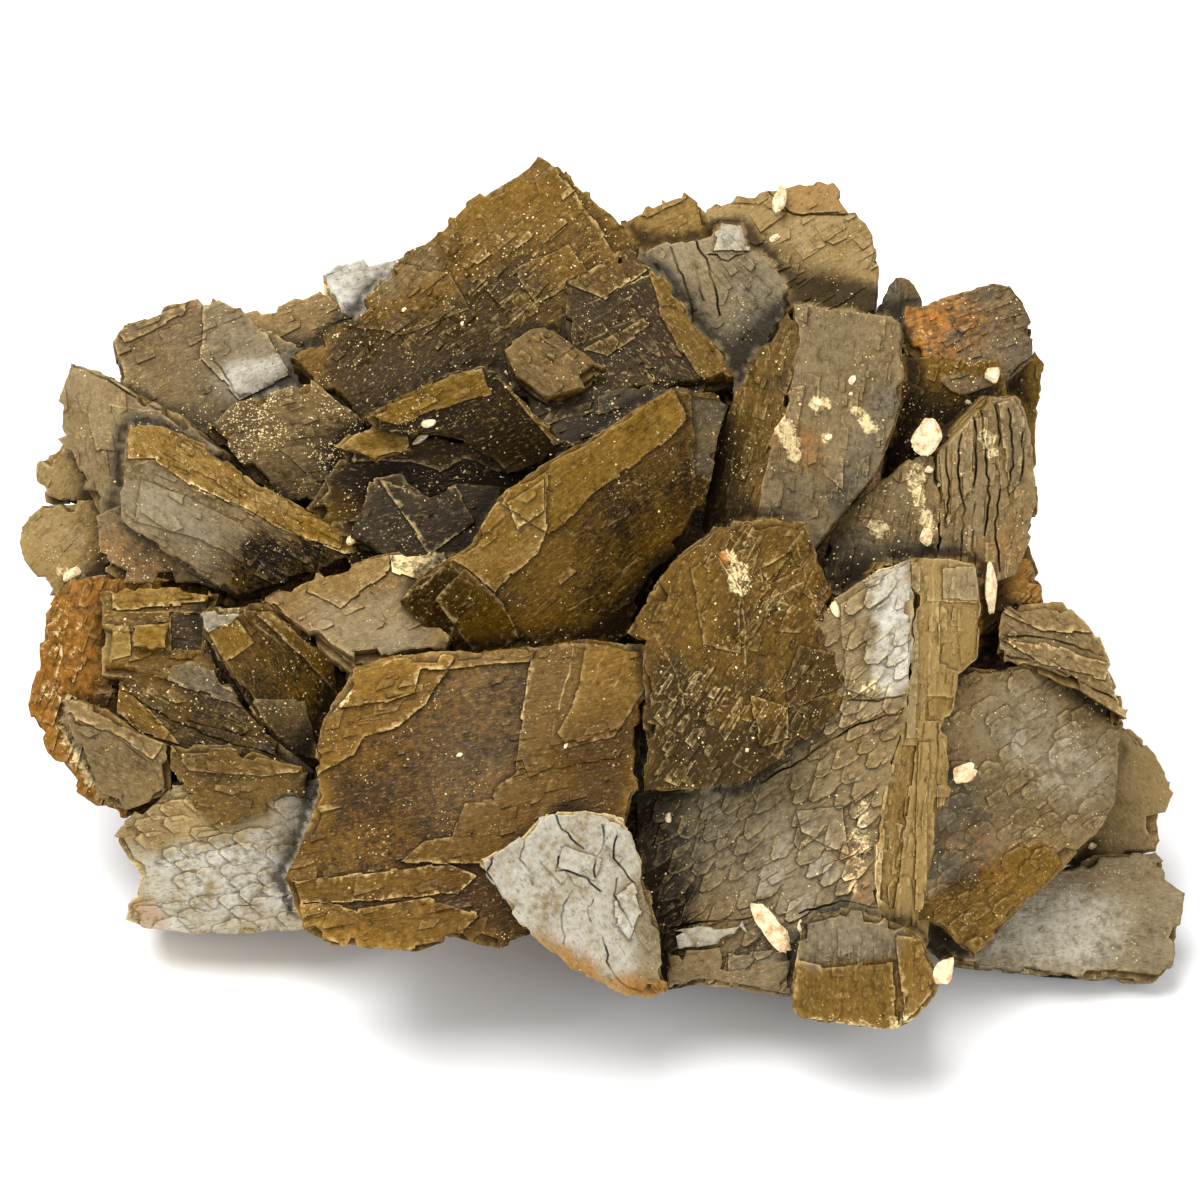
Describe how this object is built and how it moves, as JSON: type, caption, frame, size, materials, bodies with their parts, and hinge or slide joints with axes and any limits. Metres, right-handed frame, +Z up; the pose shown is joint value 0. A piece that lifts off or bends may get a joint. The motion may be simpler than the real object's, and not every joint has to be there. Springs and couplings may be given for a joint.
{
  "type": "siderite crystal cluster",
  "caption": "Siderite mineral specimen: overlapping brown rhomb-shaped crystal blades grown in a low cluster, with small cream carbonate grains, cut flat underneath to rest on a shelf.",
  "frame": {"origin": "on the cut base plane, under the middle of the bounding box", "axes": "+Z up, +X to the right along the cluster's long side, -Y towards the side with the large overhanging blades"},
  "size_m": [0.1168, 0.0846, 0.0585],
  "materials": {
    "siderite": "olive-brown to amber crystal faces with a satin to vitreous lustre",
    "cream_carbonate": "matt cream, rough"
  },
  "bodies": {
    "root": {"siderite_cluster": "siderite", "cream_grain_front": "cream_carbonate", "cream_grain_side": "cream_carbonate", "cream_grain_heel": "cream_carbonate", "cream_grain_cavity": "cream_carbonate", "cream_grain_edge": "cream_carbonate", "cream_grain_top": "cream_carbonate", "cream_grain_orange": "cream_carbonate", "cream_grain_block": "cream_carbonate"}
  },
  "joints": []
}
